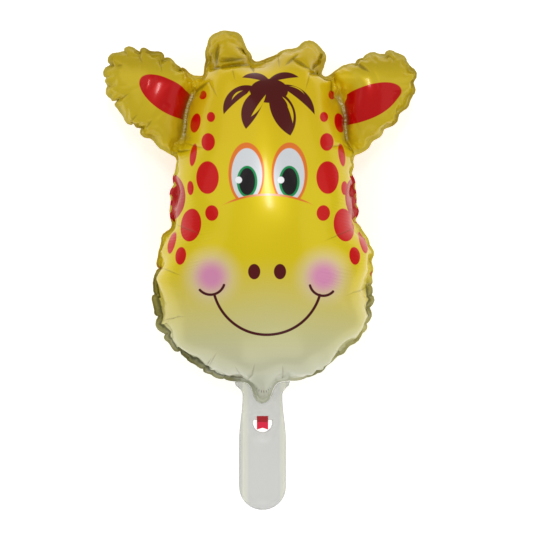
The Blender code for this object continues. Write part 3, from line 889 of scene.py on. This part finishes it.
def paired(points, ovals):
    """The least distance to ovals that stand on both sides of the axis."""
    points = np.column_stack([np.abs(points[:, 0] - FACE_AXIS), points[:, 1]])
    return np.min([oval_distance(points, (x, y), w, h, lean) for x, y, w, h, lean in ovals], axis=0)


red_distances = np.where(facing >= 0, paired(drawn, SPOTS), paired(drawn, BACK_SPOTS))
keep_on_points(balloon.data, "red_border", red_distances)
print("red points:", int((red_distances < 0).sum()))

# %% [markdown]
# A small kit for drawing in a material.  An amount is a number that differs from place to place,
# and sums on it are written as on plain numbers.  A shape is the distance to its border, less
# than nought inside, and `ink` lays a colour over what is there wherever that distance is.

# %% Amounts that differ over the film
class Amount:
    """A number worked out in the material.  Each sum on it adds a node and gives a new amount."""

    def __init__(self, socket):
        self.socket = socket

    def sum_with(self, operation, *others):
        """What an operation gives for this amount and others, which may be plain numbers."""
        inputs = {f"i{k}": value for k, value in enumerate((self, *others))}
        return Amount(add(tree, "ShaderNodeMath", {"operation": operation}, **inputs).outputs[0])

    def __add__(self, other):
        return self.sum_with("ADD", other)

    def __sub__(self, other):
        return self.sum_with("SUBTRACT", other)

    def __rsub__(self, other):
        less = add(tree, "ShaderNodeMath", {"operation": "SUBTRACT"}, i0=other, i1=self)
        return Amount(less.outputs[0])

    def __mul__(self, other):
        return self.sum_with("MULTIPLY", other)

    def __abs__(self):
        return self.sum_with("ABSOLUTE")


# %% Printed foil, and what it reads from the points
# Printed foil is polyester film with a breath of metal under its inks.  It gives the eye strong,
# even colours with a soft sheen, and a clear coat of varnish puts sharper lights on that.
foil, tree, shader = new_material(
    "printed foil", Roughness=0.3, Metallic=0.15, Coat_Weight=0.3, Coat_Roughness=0.12,
    Specular_IOR_Level=0.06,
)
drawing = add(tree, "ShaderNodeAttribute", {"attribute_name": "drawing"}).outputs["Vector"]
across, up, _ = (Amount(part) for part in add(tree, "ShaderNodeSeparateXYZ", Vector=drawing).outputs)
facing_side, to_red, to_root, weld, inset = (
    Amount(add(tree, "ShaderNodeAttribute", {"attribute_name": name}).outputs["Fac"])
    for name in ("side", "red_border", "ear_root", "weld", "inset")
)
print("material:", foil.name)


# %% Shapes
def disc(centre, radius):
    """The distance to a circle."""
    reach = add(tree, "ShaderNodeVectorMath", {"operation": "DISTANCE"}, i0=drawing, i1=(*centre, 0))
    return Amount(reach.outputs["Value"]) - radius


def oval(centre, half_width, half_height, lean=0):
    """About the distance to an oval, leaning so many degrees to the left."""
    moved = add(
        tree, "ShaderNodeMapping", {"vector_type": "TEXTURE"}, Vector=drawing, Location=(*centre, 0),
        Rotation=(0, 0, math.radians(lean)), Scale=(half_width, half_height, 1),
    )
    radius = add(tree, "ShaderNodeVectorMath", {"operation": "LENGTH"}, i0=moved.outputs[0])
    return (Amount(radius.outputs["Value"]) - 1) * min(half_width, half_height)


def slope(point, lean):
    """The distance to a straight border through a point; upright and film to its left at lean 0."""
    c, s = math.cos(math.radians(lean)), math.sin(math.radians(lean))
    reach = add(tree, "ShaderNodeVectorMath", {"operation": "DOT_PRODUCT"}, i0=drawing, i1=(c, -s, 0))
    return Amount(reach.outputs["Value"]) - (c * point[0] - s * point[1])


def arc_through(start, end, bulge):
    """Centre and radius of the arc from start to end that bulges to the left by so much."""
    start, end = np.array(start), np.array(end)
    half = np.linalg.norm(end - start) / 2
    left = np.array([-(end - start)[1], (end - start)[0]]) / (2 * half)
    radius = (half**2 + bulge**2) / (2 * abs(bulge))
    return (start + end) / 2 + left * (bulge - math.copysign(radius, bulge)), radius


# %% Shapes out of shapes, and inks
def joined(shapes):
    """All the film in any of the shapes: the least of their distances."""
    first, *others = shapes
    for shape in others:
        first = first.sum_with("MINIMUM", shape)
    return first


def shared(*shapes):
    """The film that is in all the shapes: the most of their distances."""
    first, *others = shapes
    for shape in others:
        first = first.sum_with("MAXIMUM", shape)
    return first


def leaf(root, tip, left_bulge, right_bulge):
    """A leaf or a crescent: the film between two arcs from its root to its tip."""
    sides = []
    for start, end, bulge in ((root, tip, left_bulge), (tip, root, right_bulge)):
        border = disc(*arc_through(start, end, bulge))
        sides.append(border if bulge > 0 else border * -1)
    return shared(*sides)


def stroke(start, end, bulge, thickness):
    """A stroke along an arc, with round ends."""
    line = abs(disc(*arc_through(start, end, bulge))) - thickness / 2
    run = (np.array(end) - start) * np.sign(bulge)
    beyond_chord = slope(start, math.degrees(math.atan2(run[0], run[1])))
    return joined([shared(line, beyond_chord), *(disc(tip, thickness / 2) for tip in (start, end))])


def covered(border, soft=0.3):
    """One inside a border and nought outside, with a soft edge of so many millimetres."""
    step = add(
        tree, "ShaderNodeMapRange", {"interpolation_type": "SMOOTHSTEP"}, Value=border,
        From_Min=soft, From_Max=-soft,
    )
    return Amount(step.outputs[0])


def ink(under, cover, over):
    """Colour over colour as far as the cover is one.  A colour is a hex value or a socket."""
    under, over = (linear(tone) if isinstance(tone, str) else tone for tone in (under, over))
    return add(tree, "ShaderNodeMix", {"data_type": "RGBA"}, i0=cover, i6=under, i7=over).outputs[2]


# %% Yellow face and pale muzzle
BROW, MUZZLE, CHIN_PALE, HORN_FOOT = 235, 84, 22, 312  # mm up, where one colour is half the next
BROW_SOFT, MUZZLE_SOFT, CHIN_SOFT, EDGE_SOFT = 60, 46, 34, 8  # mm over which they change
EAR_INNER = 84  # mm beside the axis
on_front = facing_side.sum_with("GREATER_THAN", 0)
aside = abs(across - FACE_AXIS)
skin_colour = ink("#e2ca12", covered(BROW - up, BROW_SOFT), "#dfbf10")  # warmer above the eyes
on_ear = covered(EAR_INNER - aside, EDGE_SOFT) * covered(BROW - up, 12)
skin_colour = ink(skin_colour, on_ear, "#cfb51f")
muzzle_top = up + aside * 0.12  # the pale part starts lower at the sides
skin_colour = ink(skin_colour, covered(muzzle_top - MUZZLE, MUZZLE_SOFT), "#d3cf94")
skin_colour = ink(skin_colour, covered(up - CHIN_PALE, CHIN_SOFT), "#cbcdb8")
# The horns get painted shade: a darker, duller yellow stands for crumpled film tilted away from the
# light.
horn_painted_shade = covered(HORN_FOOT - up, EDGE_SOFT)
skin_colour = ink(skin_colour, horn_painted_shade * 0.4, "#a58a08")
print("skin: yellow, duller on ears and horns, pale below", MUZZLE, "mm")

# %% Blushing cheeks and red patches
CHEEK_ASIDE, CHEEK_UP = 55.9, 104.5
EAR_PATCHES = [  # centre, half length and width, lean, and the straight end at the ear's root
    ((-97, 284), 34, 15.5, -33, (-79, 275), 16), ((98.5, 277.5), 39, 16.2, 23, (78, 270), 188),
]
FLANK_PATCHES = [((-98.5, 183), -8), ((96.5, 183), 7)]  # the back's red, come round to the front
for sign in (-1, 1):
    cheek = (FACE_AXIS + sign * CHEEK_ASIDE, CHEEK_UP)
    glow = covered(disc(cheek, 23), 12) * (on_front * 0.6)
    blush = covered(disc(cheek, 14), 9) * (on_front * 0.95)
    skin_colour = ink(ink(skin_colour, glow, "#e3d3bf"), blush, "#de8db8")
skin_colour = ink(skin_colour, covered(to_red), "#cf0a06")
for centre, half_long, half_wide, lean, root, root_lean in EAR_PATCHES:
    patch = shared(oval(centre, half_long, half_wide, lean), slope(root, root_lean))
    skin_colour = ink(skin_colour, covered(patch) * on_front, "#c00a08")
print("red patches on the ears:", len(EAR_PATCHES), "and on the flanks:", len(FLANK_PATCHES))

# %% Tuft of hair
LOCKS = [  # root, tip, bulge to the left and to the right
    ((5, 297), (-23.7, 303), -1.2, 8), ((0, 297), (32.6, 303.4), 8, -1.2),
    ((-9, 293), (-42.1, 266.7), -2, 13.5), ((1, 292), (-20, 252), 3.5, 14),
    ((4, 292), (24.3, 245.4), 14.5, 8.5), ((12, 295.5), (48.5, 266.3), 11.5, -2),
]
SLITS = [
    ((-23.3, 290), (-34, 281), -1.0, 2.6), ((-16.5, 290), (-20, 282.8), 0.7, 0.7),
    ((-0.3, 286), (-14.8, 264.5), 2.8, 0.8), ((16.5, 284), (26.6, 257.9), 4.6, -1.2),
    ((23.5, 294.6), (38, 287), 2.4, -1.3),
]
hair = joined([oval((3, 290), 19, 12)] + [leaf(*lock) for lock in LOCKS])
hair = shared(hair, joined([leaf(*slit) for slit in SLITS]) * -1)
inner_lock = leaf((15.5, 284), (21.8, 274), 1.2, 0.8)
hair = joined([hair, inner_lock])
print("hair:", len(LOCKS), "locks with", len(SLITS), "slits")

# %% Eyes
EYE_ASIDE = 21.1
LID_CENTRE, LID_RADIUS = (2, 82.4), 104
LID_HALF_SPAN = 46
lid = disc(LID_CENTRE, LID_RADIUS)
above_lid = lid * -1
face = skin_colour
for sign in (-1, 1):
    eye_middle = FACE_AXIS + 0.5 + sign * EYE_ASIDE
    for eye_shape, tone in (  # outline, white, iris, pupil and glint
        (oval((eye_middle + sign * 0.4, 207.5), 18, 31), "#e8792a"),
        (oval((eye_middle, 206), 15.4, 26.8), "#d9dde0"),
        (oval((eye_middle + 0.2, 199.5), 10.3, 15.7), "#10924f"),
        (oval((eye_middle + 0.2, 199.5), 8, 13.5), "#1c1719"),
        (disc((eye_middle - 8.2, 201), 3.4), "#f6f7f8"),
    ):
        face = ink(face, covered(shared(eye_shape, above_lid)), tone)
from_lid_middle = abs(across - LID_CENTRE[0])
lid_half_thickness = covered(from_lid_middle - 39, 8)  # one mm, and less towards its ends
lid_line = shared(abs(lid) - lid_half_thickness, from_lid_middle - LID_HALF_SPAN, 150 - up)
# The lid line is printed orange; its pale pink middle between the eyes is a painted highlight, the
# lamp's reflection on the gloss.
lid_colour_and_highlight = ink("#f2bda6", covered(14 - from_lid_middle, 12), "#e8792a")
face = ink(face, covered(lid_line), lid_colour_and_highlight)
print("eyes:", EYE_ASIDE, "mm beside the middle")

# %% Nose, mouth and hair
NOSTRIL_ASIDE = 12.9
MOUTH = [  # from, to, bulge to the left, thickness
    ((-51.5, 86), (53.7, 86), -39.7, 2.7), ((-66, 91), (-42, 96), -7, 2.6),
    ((44, 95.5), (67, 89.5), -7, 2.6),
]
for sign in (-1, 1):
    nostril = oval((FACE_AXIS - 0.4 + sign * NOSTRIL_ASIDE, 109.4), 6.1, 7.7)
    face = ink(face, covered(nostril), "#5a0f12")
face = ink(face, covered(joined([stroke(*line) for line in MOUTH])), "#4a1014")
ticks = []
for k in range(7):  # a bowed row of short strokes on the neck
    bow = 0.2 * k * (6 - k)
    ticks.append(leaf((-9.6 + 2.3 * k, -5.8 - bow), (-9.9 + 2.5 * k, -8.4 - bow), 0.35, 0.35))
face = ink(face, covered(joined(ticks), 0.25) * 0.8, "#3b3034")
face = ink(face, covered(hair), "#551410")
colour = ink(skin_colour, on_front, face)
print("mouth:", len(MOUTH), "strokes, neck:", len(ticks), "ticks")

# %% [markdown]
# The welds at the ears' roots are crinkled into beads, lit with painted highlights and painted shade,
# with a strip of painted shade beside them.  The outer weld gets a little painted shade, greyer than
# the film, as it tilts from the light.

# %% Welds
BEAD = 2.0  # mm
# A strip of painted shade beside each root weld, where the film dips down to it.
root_shade_mask = covered(to_root - 6, 8)
colour = ink(colour, root_shade_mask * 0.5, "#8f6a00")
root_strip = covered(to_root - 2.2, 0.6)
beads = Amount(add(tree, "ShaderNodeTexNoise", Vector=drawing, Scale=1 / BEAD, Detail=2.0).outputs[0])
# The beads are painted highlights on the crinkles, with painted shade between them.
bead_light_and_shade = ink("#a8934c", covered(0.5 - beads, 0.1), "#f3ebcb")
colour = ink(colour, root_strip * 0.9, bead_light_and_shade)
off_neck = covered(3 - disc((-3.5, -6), 26), 4)
# Painted shade on the outer weld, which tilts away from the light: a greyer, darker yellow.
weld_shade_mask = covered(0.5 - weld, 0.4) * (1 - root_strip) * off_neck
colour = ink(colour, weld_shade_mask * 0.35, "#b0a75a")
print("beads of about", BEAD, "mm")

# %% [markdown]
# Some shade is sharper than the mesh can show: where the weld stands behind the chin's overhang,
# and at the bottom of the deepest creases.  It is mixed into the print, the same from all sides.

# %% The weld in the shade of the chin
left_of_chin = covered(across + 24, 8) * covered(up - 112, 8)
right_of_chin = covered(95 - across, 3) * covered(abs(up - 78) - 20, 10)
standing = left_of_chin.sum_with("MAXIMUM", right_of_chin) * off_neck
teeth = weld_shade_mask.sum_with("MAXIMUM", covered(inset - 1.5, 1))
overhung = covered(inset - 6, 1.2) * (1 - teeth)
colour = ink(colour, overhung * standing * 0.85, "#3f4119")
colour = ink(colour, teeth * standing * 0.75, "#7d7a44")
print("shade: under the overhang and on the weld's teeth")

# %% Painted shade in the creases, and the flanks
DEEP = 3  # mm, from which a crease is dark at its bottom
all_creases = HORN_CREASES + EDGE_CREASES
deep_crease_shade = joined([leaf(start, end, 1.1, 1.1) for start, end, deep, _ in all_creases if deep >= DEEP])
faint_crease_shade = joined([leaf(start, end, 0.6, 0.6) for start, end, deep, _ in all_creases if deep < DEEP])
fold, faint = covered(deep_crease_shade, 1.2), covered(faint_crease_shade, 0.8)
# Dark painted shade at the bottom of the creases, stronger in the deep ones.
colour = ink(colour, fold * 0.55, "#5a4a06")
colour = ink(colour, faint * 0.35, "#5a4a06")
HORN_SHADES = [((-32, 320), 14, 4, 6), ((-50, 321), 4, 11, 0), ((51, 310), 9, 4, -20)]
for shade in HORN_SHADES:
    colour = ink(colour, covered(oval(*shade), 3) * 0.3, "#5a4a06")
for centre, lean in FLANK_PATCHES:
    colour = ink(colour, covered(oval(centre, 17, 25, lean)) * on_front, "#b80e0a")
tree.links.new(colour, shader.inputs["Base Color"])
balloon.data.materials.append(foil)
print("nodes in the print:", len(tree.nodes))

# %% [markdown]
# ## The film's finest wrinkles
# They are a relief of less than a millimetre, too fine for the mesh, which only bends the light:
# fans of them come in from both sides of the face, and the film by the welds is crumpled.

# %% Fine wrinkles
WRINKLE_PITCH = 3.3  # mm
CRINKLE_PITCH = 2.6  # mm
WRINKLE_DEPTH, CRUMPLE_DEPTH, CRINKLE_DEPTH = 0.09, 0.9, 0.28  # mm
GROOVE, FAINT_GROOVE = -0.7, -0.3  # mm, in the deep creases and the shallow ones
fan = up + aside * 0.22
patchy = Amount(add(tree, "ShaderNodeTexNoise", Vector=drawing, Scale=0.045, Detail=3.0).outputs[0])
phase = fan * (2 * math.pi / WRINKLE_PITCH) + patchy * 14
beside_face = covered(62 - aside, 22)
brow_to_cheek = covered(abs(up - 165) - 80, 25)
off_edge = covered(7 - inset, 5)
strong = beside_face * brow_to_cheek * off_edge * covered(0.5 - patchy, 0.12)
wrinkles = phase.sum_with("SINE") * (strong * WRINKLE_DEPTH)
crumpled = add(tree, "ShaderNodeTexNoise", Vector=drawing, Scale=0.16, Detail=4.0, Distortion=1.2)
crumples = Amount(crumpled.outputs[0]) * (covered(inset - 10, 9) * CRUMPLE_DEPTH)
crinkles = (up * (2 * math.pi / CRINKLE_PITCH)).sum_with("SINE") * CRINKLE_DEPTH
grooves = fold * GROOVE + faint * FAINT_GROOVE
relief = wrinkles + crumples + crinkles * root_strip + grooves
bump = add(tree, "ShaderNodeBump", Height=relief, Distance=MM, Strength=1.0)
tree.links.new(bump.outputs[0], shader.inputs["Normal"])
print("wrinkles every", WRINKLE_PITCH, "mm, crinkles every", CRINKLE_PITCH, "mm")

# %% [markdown]
# ## Handle and tab
# The sleeve's clear film shows grey where two layers lie over each other, and paler and
# yellowish in the welds.  The tab is a slip of red film with a fold across it.

# %% Clear film
BAND_WIDTH = 10.0  # mm from the handle's side that the bands of colour take
BANDS = [  # place from the side as a share of that, and colour
    (0.0, "#b4b6ab"), (0.14, "#b9bba9"), (0.24, "#d5d6bb"), (0.6, "#cdceb8"), (0.85, "#bbbdb4"),
    (1.0, "#bcbdb7"),
]
# Clear nylon film, welded: it lets light through, and gives the eye a milky grey with a soft gloss.
clear, clear_tree, clear_shader = new_material("clear film", Roughness=0.22, IOR=1.5, Alpha=0.45)
sleeve_axis = sleeve_edge[np.argmin(sleeve_edge[:, 1]), 0]
half_width = np.ptp(sleeve_edge[sleeve_edge[:, 1] < neck_tip[1] - 60 * MM, 0]) / 2
from_side = np.maximum(half_width - np.abs(sleeve_points[:, 0] - sleeve_axis), 0) / MM
keep_on_points(sleeve.data, "from_side", from_side)
side_distance = add(clear_tree, "ShaderNodeAttribute", {"attribute_name": "from_side"}).outputs["Fac"]
share_of_band = add(
    clear_tree, "ShaderNodeMath", {"operation": "DIVIDE"}, i0=side_distance, i1=BAND_WIDTH
)
bands = add(clear_tree, "ShaderNodeValToRGB", i0=share_of_band.outputs[0])
ramp = bands.color_ramp
while len(ramp.elements) < len(BANDS):
    ramp.elements.new(0.5)
for element, (position, tone) in zip(ramp.elements, BANDS):
    element.position, element.color = position, linear(tone)
clear_tree.links.new(bands.outputs[0], clear_shader.inputs["Base Color"])
sleeve.data.materials.append(clear)
print("handle:", round(2 * half_width / MM, 1), "mm wide, in", len(BANDS), "tones")

# %% Red film
TAB_FOLD = 6 * MM  # from the tab's top, with a soft edge of the next value on both sides
FOLD_EDGE = 0.4 * MM
# Dyed polyester film: a clear, full red with a small gloss, and darker from its fold up to its top,
# which is painted shade.
red, red_tree, red_shader = new_material("red film", Roughness=0.3)
object_place = add(red_tree, "ShaderNodeTexCoord").outputs["Object"]
_, tab_up, _ = add(red_tree, "ShaderNodeSeparateXYZ", Vector=object_place).outputs
tab_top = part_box("valve_tab")[1][1]
tab_fold = add(
    red_tree, "ShaderNodeMapRange", {"interpolation_type": "SMOOTHSTEP"}, Value=tab_up,
    From_Min=tab_top - TAB_FOLD - FOLD_EDGE, From_Max=tab_top - TAB_FOLD + FOLD_EDGE,
)
# Painted shade: the tab is a darker red from its fold up to its top.
red_with_fold_shade = add(
    red_tree, "ShaderNodeMix", {"data_type": "RGBA"}, i0=tab_fold.outputs[0],
    i6=linear("#ee1440"), i7=linear("#b00416"),
)
red_tree.links.new(red_with_fold_shade.outputs[2], red_shader.inputs["Base Color"])
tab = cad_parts["valve_tab"]
tab.data.materials.clear()
tab.data.materials.append(red)
print("tab: red, folded", TAB_FOLD / MM, "mm below its top")
